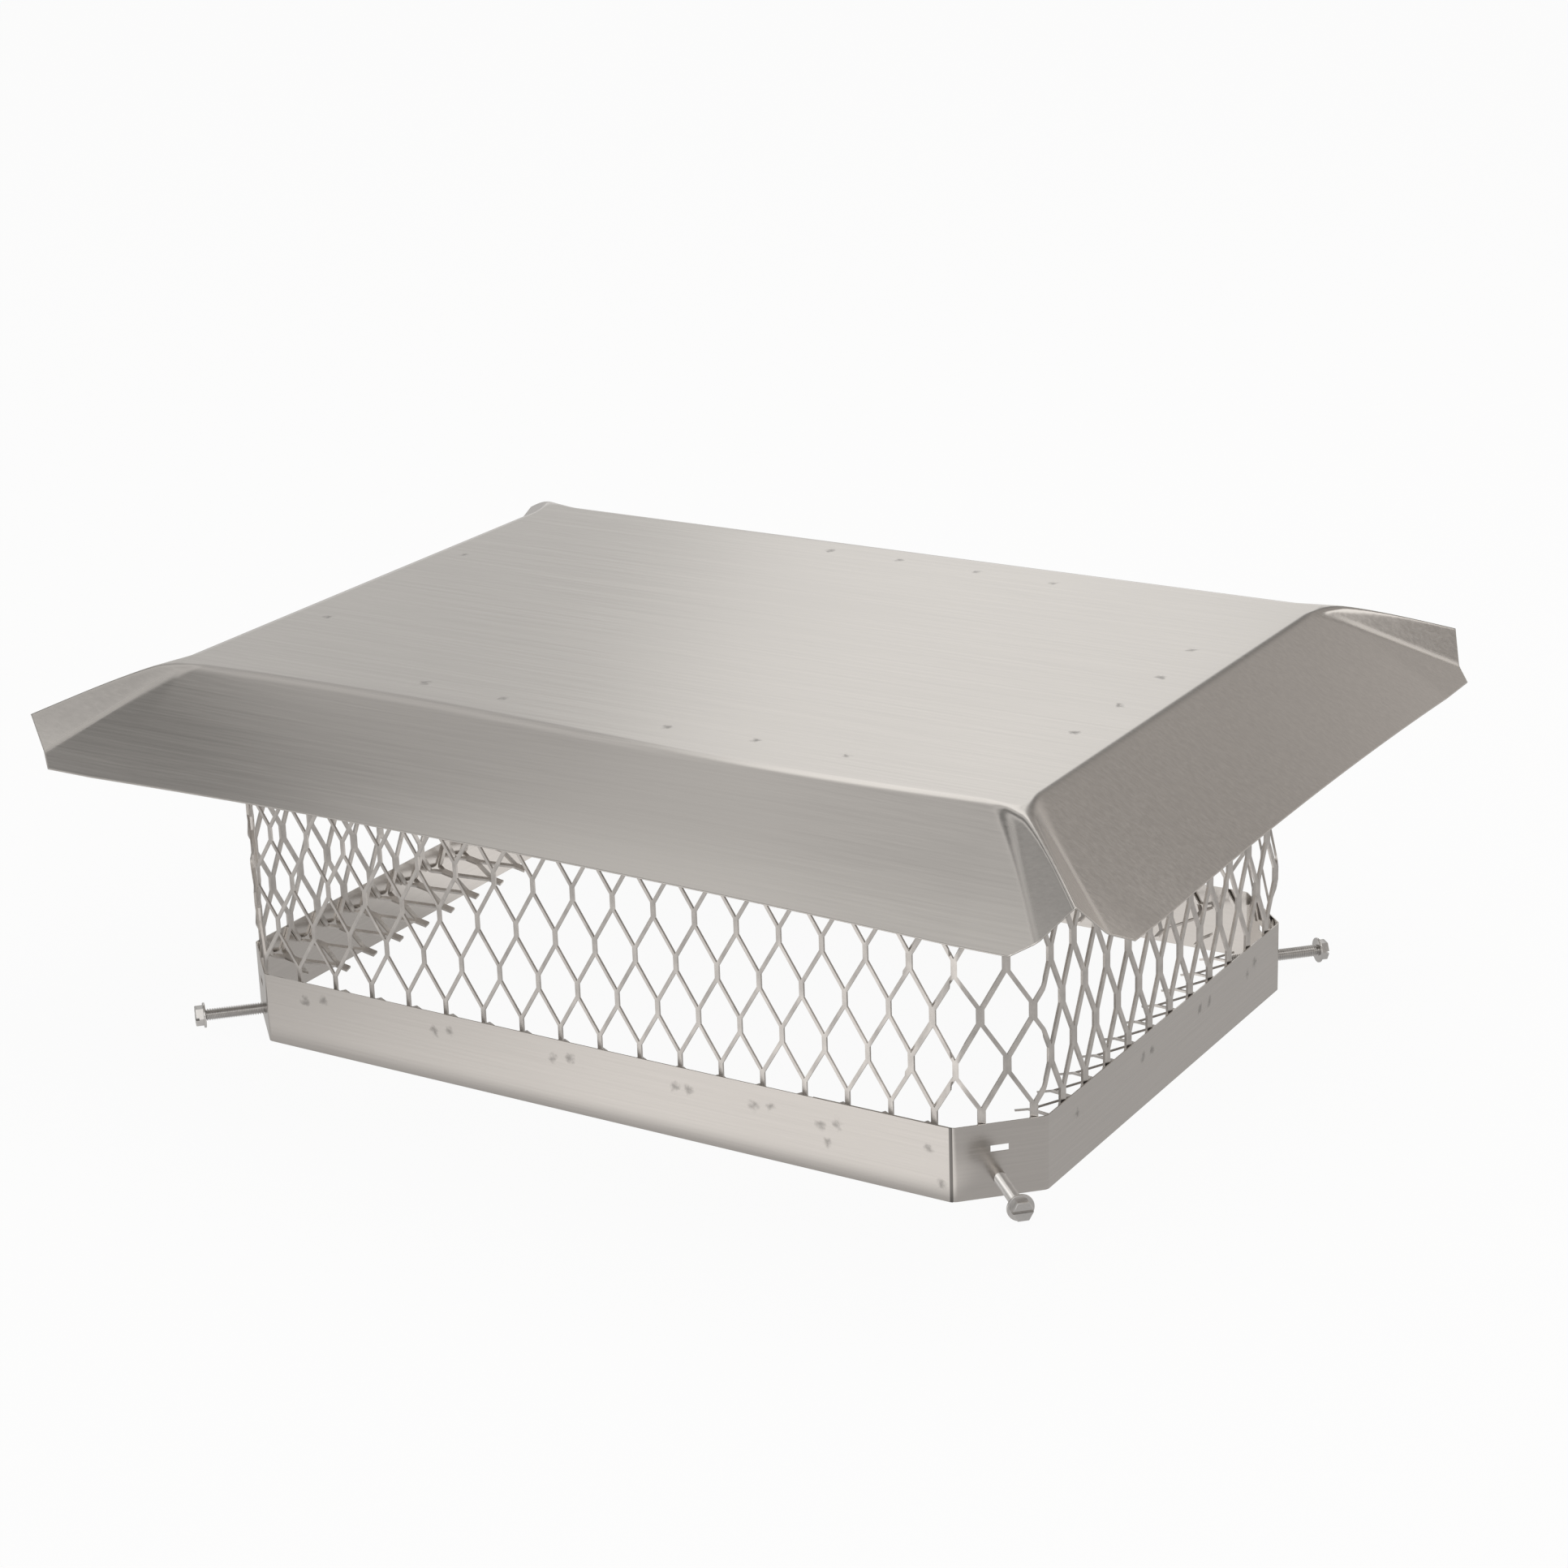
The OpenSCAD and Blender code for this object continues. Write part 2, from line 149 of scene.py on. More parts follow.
print("room nodes:", len(tree.nodes))

# %% [markdown]
# The cap stands on a plain pale floor. To the camera the floor is mostly as white as the sweep, and
# a part of it stays a plain matt surface, so that the cap keeps a soft shadow. In the steel's mirror
# the floor is dimmer, with a painted pool of light in front of the cap and a painted brighter patch
# under the back half of the cap.

# %% Floor
floor_mesh = bpy.data.meshes.new("floor")
shape = bmesh.new()
bmesh.ops.create_grid(shape, x_segments=1, y_segments=1, size=6)
shape.to_mesh(floor_mesh)
shape.free()
floor = bpy.data.objects.new("floor", floor_mesh)
bpy.context.scene.collection.objects.link(floor)
paint = bpy.data.materials.new("pale floor")
paint.use_nodes = True
tree = paint.node_tree
tree.nodes.clear()
place = node(tree, "ShaderNodeTexCoord").outputs["Object"]
path = node(tree, "ShaderNodeLightPath")
mirrored = maths(tree, "MAXIMUM", path.outputs["Is Glossy Ray"], path.outputs["Is Transmission Ray"])
across, ahead = node(tree, "ShaderNodeSeparateXYZ", {0: place}).outputs[:2]
# Painted light on the mirrored floor: a pool of light in front of the cap, brighter to the right, and a brighter patch
# under the back half of the cap, over a dimmer level everywhere else.
painted_light_pool = maths(tree, "MULTIPLY", soft_step(tree, across, -0.35, 0.05, 0.1, 0.56),
             soft_step(tree, ahead, -0.185, -0.166, 1.0, 0.0))
painted_light_pool = maths(tree, "ADD", maths(tree, "MULTIPLY", painted_light_pool, soft_step(tree, across, 0.2, 0.26, 1.0, 0.0)), 0.52)
inside = maths(tree, "MULTIPLY", soft_step(tree, ahead, 0.0, 0.08, 0.0, 0.5), soft_step(tree, ahead, 0.165, 0.19, 1.0, 0.0))
painted_light_pool = maths(tree, "ADD", painted_light_pool, maths(tree, "MULTIPLY", inside, soft_step(tree, across, 0.19, 0.235, 1.0, 0.0)))
shine = maths(tree, "ADD", path.outputs["Is Camera Ray"], maths(tree, "MULTIPLY", mirrored, painted_light_pool))
bright = maths(tree, "ADD", maths(tree, "MULTIPLY", path.outputs["Is Camera Ray"], 0.94),
               maths(tree, "MULTIPLY", mirrored, 0.95))
matt = node(tree, "ShaderNodeBsdfDiffuse", {"Color": (0.93, 0.93, 0.93, 1)}).outputs[0]
tint = node(tree, "ShaderNodeMix", {0: path.outputs["Is Camera Ray"], 6: (1.0, 0.975, 0.95, 1), 7: (1, 1, 1, 1)},
            data_type="RGBA").outputs[2]
lit = node(tree, "ShaderNodeEmission", {"Color": tint, "Strength": shine}).outputs[0]
node(tree, "ShaderNodeOutputMaterial",
     {"Surface": node(tree, "ShaderNodeMixShader", {0: bright, 1: matt, 2: lit}).outputs[0]})
floor_mesh.materials.append(paint)
print("floor:", floor.dimensions[:])


# %% [markdown]
# Two soft boxes do the lighting: a large one high overhead as the main light, and a weak one at the
# front right for the band. The bright line along the hood's front bend comes from the room's bright
# panel.

# %% Lamps
def soft_box(name, azimuth, elevation, distance, width, height, power):
    a, e = math.radians(azimuth), math.radians(elevation)
    out = Vector((math.sin(a) * math.cos(e), math.cos(a) * math.cos(e), math.sin(e)))
    lamp = bpy.data.lights.new(name, "AREA")
    lamp.shape, lamp.size, lamp.size_y, lamp.energy = "RECTANGLE", width, height, power
    lamp.color = (1.0, 0.985, 0.965)
    box = bpy.data.objects.new(name, lamp)
    box.matrix_world = Matrix.Translation(out * distance) @ out.to_track_quat("Z", "Y").to_matrix().to_4x4()
    bpy.context.scene.collection.objects.link(box)
    return box


for lamp in (("top light", 60, 66, 2.4, 2.4, 2.0, 14), ("fill light", 150, 30, 2.8, 2.0, 1.6, 8)):
    print(soft_box(*lamp).name)


# %% [markdown]
# Brushed stainless steel is one recipe with a few settings. A noise that is stretched along the
# brushing direction gives the fine lines: it changes the roughness, a little of the colour, and
# lifts the surface with a bump. A second, broad noise gives the faint cloudiness of rolled sheet.
# Spot welds are round smudges: the distance from each weld's middle is turned into a dark, rougher
# patch with a small dimple.

# %% Steel
def brushed_steel(name, colour, roughness, grain, depth, streaks=0.3, cloud=(9.0, 0.06), marks=(), mark_tone=0.6,
                  painted_sheen=0.0, seam_shadow=None, crease_sheen=None):
    steel = bpy.data.materials.new(name)
    steel.use_nodes = True
    tree = steel.node_tree
    tree.nodes.clear()
    place = node(tree, "ShaderNodeTexCoord").outputs["Object"]
    along = node(tree, "ShaderNodeMapping", {"Vector": place, "Scale": grain}).outputs[0]
    lines = node(tree, "ShaderNodeTexNoise", {"Vector": along, "Scale": 1.0, "Detail": 6.0,
                                              "Roughness": 0.7}).outputs[0]
    clouds = node(tree, "ShaderNodeTexNoise", {"Vector": place, "Scale": cloud[0], "Detail": 3.0}).outputs[0]
    lines, clouds = maths(tree, "SUBTRACT", lines, 0.5), maths(tree, "SUBTRACT", clouds, 0.5)
    shade = maths(tree, "ADD", maths(tree, "MULTIPLY", lines, streaks), maths(tree, "MULTIPLY", clouds, cloud[1]))
    # Painted sheen: the lower edge of the front skirt, from 166 to 186 mm up, is lightened as if it mirrored brighter
    # light there.
    if painted_sheen:
        across, ahead, up = node(tree, "ShaderNodeSeparateXYZ", {0: place}).outputs
        edge = maths(tree, "MULTIPLY", soft_step(tree, up, 0.166, 0.186, painted_sheen, 0.0),
                     soft_step(tree, ahead, -0.2, -0.18, 1.0, 0.0))
        shade = maths(tree, "ADD", shade, edge)
    coat = node(tree, "ShaderNodeHueSaturation", {"Color": (*colour, 1),
                                                  "Value": maths(tree, "ADD", shade, 1.0)}).outputs[0]
    rough = maths(tree, "ADD", maths(tree, "MULTIPLY", lines, 0.16), roughness)
    lift = lines
    # Painted highlight on the valley creases: the colour is lifted for the bright line that each crease's bend
    # mirrors, and the metal there is also made rougher.
    if crease_sheen:
        crease = node(tree, "ShaderNodeAttribute", attribute_name=crease_sheen).outputs["Fac"]
        coat = node(tree, "ShaderNodeMix", {0: crease, 6: coat, 7: tuple(c * 1.2 for c in colour) + (1,)},
                    data_type="RGBA").outputs[2]
        rough = maths(tree, "ADD", rough, maths(tree, "MULTIPLY", crease, 0.3))
    if marks:
        wander = node(tree, "ShaderNodeTexNoise", {"Vector": place, "Scale": 260.0, "Detail": 2.0}).outputs["Color"]
        wander = node(tree, "ShaderNodeVectorMath", {0: wander, 1: (0.5, 0.5, 0.5)}, operation="SUBTRACT")
        wander = node(tree, "ShaderNodeVectorMath", {0: wander.outputs[0], 3: 0.007}, operation="SCALE")
        smeared = node(tree, "ShaderNodeVectorMath", {0: place, 1: wander.outputs[0]}).outputs[0]
        mark = 0.0
        for x, y, z, wide in marks:
            away = node(tree, "ShaderNodeVectorMath", {0: smeared, 1: (x * MM, y * MM, z * MM)},
                        operation="DISTANCE").outputs["Value"]
            mark = maths(tree, "MAXIMUM", mark, soft_step(tree, away, 0.0, wide * MM, 1.0, 0.0))
        coat = node(tree, "ShaderNodeMix", {0: mark, 6: coat, 7: tuple(c * mark_tone for c in colour) + (1,)},
                    data_type="RGBA").outputs[2]
        rough = maths(tree, "ADD", rough, maths(tree, "MULTIPLY", mark, 0.12))
        lift = maths(tree, "SUBTRACT", lines, maths(tree, "MULTIPLY", mark, 1.2))
    # Painted shadow: a thin dark line down the front of the band where the edge of its corner strip stands, for the
    # shade in that step.
    if seam_shadow:
        across, ahead, up = node(tree, "ShaderNodeSeparateXYZ", {0: place}).outputs
        away = maths(tree, "ABSOLUTE", maths(tree, "SUBTRACT", across, seam_shadow * MM))
        line = maths(tree, "MULTIPLY", soft_step(tree, away, 0.0004, 0.0011, 1.0, 0.0),
                     soft_step(tree, ahead, -0.1665, -0.166, 1.0, 0.0))
        coat = node(tree, "ShaderNodeMix", {0: line, 6: coat, 7: tuple(c * 0.3 for c in colour) + (1,)},
                    data_type="RGBA").outputs[2]
    bump = node(tree, "ShaderNodeBump", {"Height": lift, "Strength": 0.35, "Distance": depth}).outputs[0]
    skin = node(tree, "ShaderNodeBsdfPrincipled", {"Base Color": coat, "Roughness": rough,
                                                   "Normal": bump, "Metallic": 1.0}).outputs[0]
    node(tree, "ShaderNodeOutputMaterial", {"Surface": skin})
    return steel


# %% Finishes
SHEET_COLOUR = (0.63, 0.605, 0.58)
HOOD_WELDS = [(-221, -71, 204, 3.6), (-105, -141, 204, 3.6), (-226, 58, 204, 3.6), (-55, -144, 204, 3.6),
              (42, -145, 204, 3.6), (90, -143, 204, 3.6), (139, -144, 204, 3.6), (219, -69, 204, 3.6),
              (220, -23, 204, 3.6), (219, 24, 204, 3.6), (214, 70, 204, 3.6), (98, 146, 204, 3.6),
              (51, 148, 204, 3.6), (1, 151, 204, 3.6), (-43, 151, 204, 3.6)]
FRONT_WELDS = [(-177.8, 27.6), (-165.8, 30.4), (-94.2, 27.7), (-85.4, 29), (-21.6, 27.7), (-11.7, 29.3),
               (51.4, 27), (58.9, 27.3), (96, 26.9), (105.2, 28.5), (133.1, 25.1), (142.2, 27.4)]
LAP_WELDS = [(137.3, 15.8), (191.4, 25.5), (197.9, 8.1)]
SIDE_WELDS = [(-103.2, 26.6), (-31.6, 26.4), (-21.2, 26.6), (35.3, 27), (46.4, 26.7), (93.4, 24.4),
              (102.4, 27.4)]
BAND_WELDS = ([(x, -167, z, 3.6) for x, z in FRONT_WELDS] + [(x, -167, z, 3.4) for x, z in LAP_WELDS]
              + [(237, y, z, 3.6) for y, z in SIDE_WELDS])
# The hood's finish has a painted sheen on the lower edge of its front skirt and a painted highlight on its valley
# creases; the band's finish has a painted shadow line at the edge of its corner strip.
hood_steel = brushed_steel("hood steel", SHEET_COLOUR, 0.17, (9, 620, 620), 0.00002, marks=HOOD_WELDS,
                           mark_tone=0.5, painted_sheen=0.14, crease_sheen="crease_sheen")
band_steel = brushed_steel("band steel", SHEET_COLOUR, 0.2, (12, 12, 800), 0.00002, streaks=0.2,
                           marks=BAND_WELDS, seam_shadow=203.4)
screen_steel = brushed_steel("screen steel", (0.66, 0.635, 0.61), 0.3, (300, 300, 120), 0.00006, streaks=0.6,
                             cloud=(110.0, 0.5))
screw_steel = brushed_steel("screw steel", (0.66, 0.65, 0.64), 0.22, (300, 300, 300), 0.00003)
for name, finish in (("hood", hood_steel), ("screen", screen_steel), ("band", band_steel)):
    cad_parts[name].data.materials.clear()
    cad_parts[name].data.materials.append(finish)
print("finishes:", len(bpy.data.materials))


# %% [markdown]
# Every new piece ends the same way: its bmesh becomes a mesh, gets smooth shading with sharp edges
# kept where the metal is creased, takes its finish, stands for its frame node and rides on its body.

# %% Finishing a piece
def finished_piece(name, shape, finish, body, stands_for, crease=40):
    mesh = bpy.data.meshes.new(name)
    shape.to_mesh(mesh)
    shape.free()
    mesh.shade_smooth()
    mesh.set_sharp_from_angle(angle=math.radians(crease))
    mesh.materials.append(finish)
    piece = bpy.data.objects.new(name, mesh)
    bpy.context.scene.collection.objects.link(piece)
    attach(piece, body)
    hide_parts(stands_for)
    print(name, len(mesh.polygons), "faces")
    return piece


# %% [markdown]
# The hood is one sheet, folded down on four sides. The metal that is left over at each corner rises
# in a pleat between two valley creases, and the pleat keeps the flat sheet's lengths. The height of
# the sheet under any point is the same rule as in the frame: the lower of two planes, blended where
# they meet. Here the rings round the flat top are closer together, so bends and creases are smooth.

# %% Hood sizes
HALF_LENGTH, HALF_WIDTH, CORNER_CUT, SHEET = 237.0, 167.0, 33.0, 0.6
HOOD_HEIGHT, SKIRT_SLANT, CORNER_RUN, SKIRT_ANGLE = 204.0, 79.9, 28.5, math.radians(30.4)
TOP_BEND, SOFT_BEND, EDGE_RISE, CREASE_START, CREASE_END = 2.3, 3.6, 3.5, 5.5, 0.9
PLEAT_START, RIDGE_DROP = 9.0, 19.4
BOW, BOW_REACH = 5.0, 236.0
valley_end, ridge_end = Vector((38.0, 60.5)), Vector((52.4, 52.4))
skirt_run = SKIRT_SLANT * math.cos(SKIRT_ANGLE)
least_slope = math.tan(SKIRT_ANGLE) - EDGE_RISE / skirt_run
bend_reach, soft_reach = (bend * math.tan(SKIRT_ANGLE) / least_slope for bend in (TOP_BEND, SOFT_BEND))
top_l = HALF_LENGTH - SHEET + 5 + bend_reach
top_w = HALF_WIDTH - SHEET + bend_reach
clip_end = Vector((CORNER_RUN, skirt_run))
valley_drop = math.tan(SKIRT_ANGLE) * valley_end.y
valley_x, ridge_x = valley_end.x + PLEAT_START, ridge_end.x + PLEAT_START
plane_area = valley_x * ridge_end.y - ridge_x * valley_end.y
pleat_x = (valley_drop * ridge_end.y - RIDGE_DROP * valley_end.y) / plane_area
pleat_y = (valley_x * RIDGE_DROP - ridge_x * valley_drop) / plane_area
print("pleat slopes", round(pleat_x, 3), round(pleat_y, 3))


# %% Height of the sheet
def soft_max(a, b, blend):
    near = max(blend - abs(a - b), 0.0)
    return max(a, b) + near * near / (4 * blend)


def soft_min(a, b, blend):
    return -soft_max(-a, -b, blend)


def side_slope(x, half):
    s = min(1 + x / half, 1)
    return least_slope + (math.tan(SKIRT_ANGLE) - least_slope) * s * s


def fall(x, y, lx, ly):
    out = min(math.hypot(max(x, 0), max(y, 0)) / skirt_run, 1)
    k = CREASE_END + (CREASE_START - CREASE_END) * (1 - out) ** 3
    side_y = soft_min(side_slope(x, lx) * y, pleat_x * (x + PLEAT_START) + pleat_y * y, k)
    side_x = soft_min(side_slope(y, ly) * x, pleat_x * (y + PLEAT_START) + pleat_y * x, k)
    return soft_max(0, soft_max(side_y, side_x, 3 * k), SOFT_BEND * math.tan(SKIRT_ANGLE))


def crease_sheen_at(x, y, lx, ly):
    """How much painted highlight a place takes: 1 on a valley crease, 0 a few millimetres beside it."""
    if x < y:
        x, y, lx, ly = y, x, ly, lx
    step = side_slope(y, ly) * x - pleat_x * (y + PLEAT_START) - pleat_y * x
    return max(1 - abs(step) / 1.4, 0.0) * min(max((x - 6) / 12, 0.0), 1.0)


# %% Rings of the hood
def steps(a, b, n):
    return [a + (b - a) * i / n for i in range(n)]


fan_ends = steps(Vector((0, skirt_run)), clip_end, 6) + steps(clip_end, valley_end, 9) \
    + steps(valley_end, ridge_end, 18) + [ridge_end]
fan_starts = steps(-2 * PLEAT_START, -PLEAT_START, 15) + steps(-PLEAT_START, 0, 18) + [0]
SIDE_STEPS, TOP_INSET = 18, 60.0


def side_places(d, half):
    """Places at d millimetres outside the top's side, from the middle of the side to the ridge."""
    starts = [-half + (half - 2 * PLEAT_START) * k / SIDE_STEPS for k in range(SIDE_STEPS)] + fan_starts
    ends = [Vector((-half + half * k / SIDE_STEPS, skirt_run)) for k in range(SIDE_STEPS)] + fan_ends
    if d < 0:
        return [Vector(((start + half) * (half + d) / half - half, d)) for start in starts]
    return [Vector((start, 0)).lerp(end, d / skirt_run) for start, end in zip(starts, ends)]


def hood_ring(d):
    """Corners of one ring with their painted crease highlight."""
    ring = []
    for q in range(4):
        lx, ly = (top_w, top_l) if q % 2 else (top_l, top_w)
        sx, sy = (1 if q < 2 else -1), (-1 if q % 3 == 0 else 1)
        next_side = [place.yx for place in side_places(d, ly)[1:-1]]
        for x, y in side_places(d, lx) + next_side[::-1]:
            z, painted_sheen = HOOD_HEIGHT - fall(x, y, lx, ly), crease_sheen_at(x, y, lx, ly)
            x, y = (y, x) if q % 2 else (x, y)
            x, y = sx * (top_l + x), sy * (top_w + y)
            if y < 0 and abs(x) < BOW_REACH:
                near = 1 - (d / skirt_run if d > 0 else -d / TOP_INSET)
                y -= BOW * near * math.sin(math.pi * x / BOW_REACH)
            ring.append((Vector((x, y, z)) * MM, painted_sheen))
    return ring


# %% Hood
ring_places = [-TOP_INSET, -20, -9] + [soft_reach * k / 6 for k in range(-6, 7)] \
    + [5, 6.2, 7.5, 9, 11, 13.5, 17, 21, 26, 32, 38, 44, 50, 55, 60, 64, skirt_run - 0.5, skirt_run]
first = hood_ring(ring_places[0])
shape = bmesh.new()
order = shape.verts.layers.int.new("order")
crease_sheen = shape.verts.layers.float.new("crease_sheen")
bmesh.ops.create_circle(shape, cap_ends=True, segments=len(first), radius=1)
shape.verts.ensure_lookup_table()
for i, vert in enumerate(shape.verts):
    vert[order] = i
    vert.co, vert[crease_sheen] = first[i]
for d in ring_places[1:]:
    ring = hood_ring(d)
    rim = [edge for edge in shape.edges if edge.is_boundary]
    grown = bmesh.ops.extrude_edge_only(shape, edges=rim)["geom"]
    for vert in (g for g in grown if isinstance(g, bmesh.types.BMVert)):
        vert.co, vert[crease_sheen] = ring[vert[order]]
bmesh.ops.recalc_face_normals(shape, faces=shape.faces)
if sum(face.normal.z * face.calc_area() for face in shape.faces) < 0:
    bmesh.ops.reverse_faces(shape, faces=shape.faces)
hood = finished_piece("hood_sheet", shape, hood_steel, "cap", "hood", crease=60)
thickness = hood.modifiers.new("sheet thickness", "SOLIDIFY")
thickness.thickness, thickness.offset = SHEET * MM, -1


# %% [markdown]
# Expanded metal starts as a sheet with rows of slits that is then pulled open. Where two slits
# overlap, a bond stays, and four strands leave it. One bond with the halves of its strands is the
# whole pattern, so that is what is modelled: a small cross-section is extruded along a quarter of
# it, and the quarter is mirrored and turned. The strands lean, because the press pushes them
# through the sheet, so each bond stands with its right edge forward.

# %% One quarter of a bond
SHORT_WAY, BOND, BOND_SIDE, OPENING, ROW_RISE = 23.5, 3.2, 7.3, 41.0, 25.4
METAL, LEAN = 1.2, 0.6
crotch = ROW_RISE - OPENING / 2
run = Vector(((SHORT_WAY - BOND) / 2, (OPENING - BOND_SIDE) / 2))
side_corner = Vector((BOND / 2, BOND_SIDE / 2))
beside_crotch = side_corner + run * (Vector((0, crotch)) - side_corner).dot(run) / run.length_squared
SECTIONS = [(Vector((0, 0)), Vector((BOND / 2, 0)), 0, 1),
            (Vector((0, BOND_SIDE / 2)), side_corner, 0, 1),
            (Vector((0, crotch)), beside_crotch, 0, 0.9),
            (Vector((0, crotch)) + run / 2, side_corner + run / 2, -0.5, 0.5)]


def section_corners(inner, outer, inner_lean, outer_lean):
    return [Vector((p.x, lean * LEAN + side * METAL / 2, p.y))
            for p, lean, side in ((inner, inner_lean, -1), (outer, outer_lean, -1),
                                  (outer, outer_lean, 1), (inner, inner_lean, 1))]


bond = bmesh.new()
corner = bond.verts.layers.int.new("corner")
bmesh.ops.create_circle(bond, segments=4, radius=1)
for i, vert in enumerate(bond.verts):
    vert[corner] = i
    vert.co = section_corners(*SECTIONS[0])[i]
end_loop = bond.edges[:]
for section in SECTIONS[1:]:
    grown = bmesh.ops.extrude_edge_only(bond, edges=end_loop)["geom"]
    end_loop = [g for g in grown if isinstance(g, bmesh.types.BMEdge)]
    places = section_corners(*section)
    for vert in (g for g in grown if isinstance(g, bmesh.types.BMVert)):
        vert.co = places[vert[corner]]
inside = [f for f in bond.faces if all(abs(v.co.x) < 1e-4 for v in f.verts)]
bmesh.ops.delete(bond, geom=inside, context="FACES")
print("quarter:", len(bond.faces), "faces")

# %% The whole bond
for turn in (Matrix.Scale(-1, 4, (0, 0, 1)), Matrix.Rotation(math.pi, 4, "Z")):
    copy = bmesh.ops.duplicate(bond, geom=bond.verts[:] + bond.edges[:] + bond.faces[:])["geom"]
    bmesh.ops.transform(bond, matrix=turn, verts=[g for g in copy if isinstance(g, bmesh.types.BMVert)])
bmesh.ops.remove_doubles(bond, verts=bond.verts, dist=1e-4)
bmesh.ops.recalc_face_normals(bond, faces=bond.faces)
bond_mesh = bpy.data.meshes.new("bond")
bond.to_mesh(bond_mesh)
bond.free()
print("bond:", len(bond_mesh.polygons), "faces")

# %% [markdown]
# The strip of metal is pulled round the plan of the cap like a belt: from the front right end
# leftwards, all the way round, until its last 30 mm lap behind its start. Places along the belt
# come from the straight faces of the plan, measured along the middle of the metal.

# %% The belt's path
SIDE_GAP, BEND_RADIUS, LAP_STEP, LAP, LAP_PULL = SHEET, 4.0 - SHEET - METAL / 2, 1.4, 26.5, 3.6
FRONT, HALF_TURN = 6, math.radians(22.5)
corner_reach = (HALF_LENGTH + HALF_WIDTH - CORNER_CUT) / math.sqrt(2)
bend_half = BEND_RADIUS * math.tan(HALF_TURN)
faces_round = [6, 5, 4, 3, 2, 1, 0, 7, 6]


def face_distance(n):
    i = faces_round[n]
    if i == FRONT:
        return HALF_WIDTH - 2 * SHEET - METAL / 2 - (LAP_STEP if n else 0)
    return (corner_reach if i % 2 else HALF_LENGTH if i % 4 == 0 else HALF_WIDTH) - SIDE_GAP - METAL / 2


def face_normal(n):
    return Vector((math.cos(faces_round[n] * math.pi / 4), math.sin(faces_round[n] * math.pi / 4)))


def meeting(n):
    a, b = face_normal(n), face_normal(n + 1)
    da, db = face_distance(n), face_distance(n + 1)
    return Vector((da * b.y - db * a.y, db * a.x - da * b.x)) / (a.x * b.y - a.y * b.x)


belt = [meeting(n) for n in range(8)]
front_end = belt[7].x - bend_half
belt = [Vector((front_end, -face_distance(0)))] + belt + [Vector((front_end - LAP, -face_distance(8)))]
along = [0.0]
for n in range(9):
    along.append(along[-1] + (belt[n + 1] - belt[n]).length)
print("belt:", round(along[-1], 1), "mm")


def on_belt(t):
    """Place and outward direction at t millimetres along the belt."""
    n = max(k for k in range(9) if k == 0 or along[k] <= t)
    bend = next((k for k in range(1, 9) if abs(t - along[k]) < bend_half), None)
    if bend is None:
        ahead = (belt[n + 1] - belt[n]).normalized()
        return belt[n] + ahead * (t - along[n]), face_normal(n)
    turned = (t - along[bend] + bend_half) / bend_half * HALF_TURN
    a, b = face_normal(bend - 1), (belt[bend] - belt[bend - 1]).normalized()
    out = a * math.cos(turned) + b * math.sin(turned)
    centre = belt[bend] - b * bend_half - a * BEND_RADIUS
    return centre + out * BEND_RADIUS, out


# %% [markdown]
# Above the wall the strip is folded inwards under the hood, and below it is folded inwards onto the
# flue. Both folds are missing at the corners, where the strip is notched. The folds turn the
# outward side of the metal upwards at the top and downwards at the bottom.

# %% Folds and notches
TOP_FOLD, LOW_FOLD, FOLD_RADIUS, METAL_BACK = 202.4, 25.6, 1.5, 0.65
CORNER_TOP, CORNER_LOW, NOTCH = 202.9, 28.7, 8.0
DROOP = {0: 17, 2: 10, 4: 10, 6: 14}
FIRST_ROW, ROW_SHIFT, ROWS = 41.0, 6.2, range(-2, 8)
strip_top = FIRST_ROW + 7 * ROW_RISE + BOND_SIDE / 2
strip_low = FIRST_ROW - 2 * ROW_RISE - BOND_SIDE / 2


def folded(v, droop):
    """Height, distance inwards and lean of the outward side, v millimetres up the strip."""
    for fold, way, full in ((TOP_FOLD, 1, math.pi / 2), (LOW_FOLD, -1, math.pi / 2 - droop)):
        reach = FOLD_RADIUS * math.tan(full / 2)
        past = (v - fold) * way
        if past > -reach:
            a = min((past + reach) / (2 * reach), 1) * full
            flat = max(past - reach, 0)
            inwards = FOLD_RADIUS * (1 - math.cos(a)) + flat * math.sin(a)
            up = FOLD_RADIUS * math.sin(a) - reach + flat * math.cos(a)
            return fold + way * up, inwards, way * a
    return v, 0.0, 0.0


def on_cap(place):
    """Where a point of the flat strip comes to lie on the cap."""
    t = min(max(front_end - place.x, 0.0), along[-1])
    t += LAP_PULL * min(max((t - along[7]) / (along[8] - along[7]), 0), 1)
    spot, out = on_belt(t)
    face = faces_round[max(k for k in range(9) if k == 0 or along[k] <= t)]
    z, inwards, lean = folded(place.z, math.radians(DROOP.get(face, 0)))
    deep = place.y - METAL_BACK
    level = spot + out * (deep * math.cos(lean) - inwards)
    return Vector((level.x, level.y, z + deep * math.sin(lean))) * MM


# %% The flat strip
strip = bmesh.new()
first_bond = math.floor((front_end - along[-1] - ROW_SHIFT) / SHORT_WAY) - 1
for j in ROWS:
    for k in range(first_bond, first_bond + math.ceil(along[-1] / SHORT_WAY) + 3):
        before = len(strip.verts)
        strip.from_mesh(bond_mesh)
        strip.verts.ensure_lookup_table()
        shift = Vector((ROW_SHIFT + (k + 0.5 * (j % 2)) * SHORT_WAY, 0, FIRST_ROW + j * ROW_RISE))
        bmesh.ops.translate(strip, verts=strip.verts[before:], vec=shift)
bmesh.ops.remove_doubles(strip, verts=strip.verts, dist=1e-3)
print("flat strip:", len(strip.faces), "faces")


# %% Cutting and bending
def everything(shape):
    return shape.verts[:] + shape.edges[:] + shape.faces[:]


